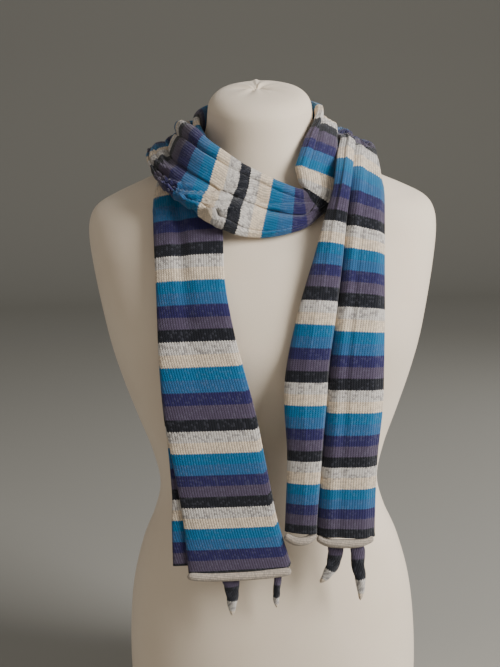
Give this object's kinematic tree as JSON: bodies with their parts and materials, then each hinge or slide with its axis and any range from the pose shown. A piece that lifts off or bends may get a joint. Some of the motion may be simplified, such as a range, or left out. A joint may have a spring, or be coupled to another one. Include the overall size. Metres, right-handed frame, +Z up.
{
  "type": "knitted shawl on a dress form",
  "caption": "Long striped alpaca shawl wound once round the neck of a limbless dress form, both tails hanging in folds over the chest.",
  "frame": {"origin": "centre of the dress form's flat base, under its neck", "axes": "+Z up; the front of the form faces -Y; +X to the right seen from the front"},
  "size_m": [0.386, 0.2712, 0.7285],
  "materials": {
    "form_jersey": "matt",
    "shawl_knit": "matt",
    "shawl_reverse": "matt"
  },
  "bodies": {
    "root": {"dress_form": "form_jersey", "left_tail": "shawl_knit", "nape_inner": "shawl_knit", "neck_right": "shawl_knit", "front_turn": "shawl_knit", "front_band": "shawl_knit", "band_left": "shawl_knit", "nape_outer": "shawl_knit", "right_tail": "shawl_knit", "hem_left_front": "shawl_reverse", "hem_right_inner": "shawl_reverse", "hem_right_outer": "shawl_reverse", "corner_left_a": "shawl_reverse", "corner_left_b": "shawl_reverse", "corner_right_a": "shawl_reverse", "corner_right_b": "shawl_reverse"}
  },
  "joints": []
}
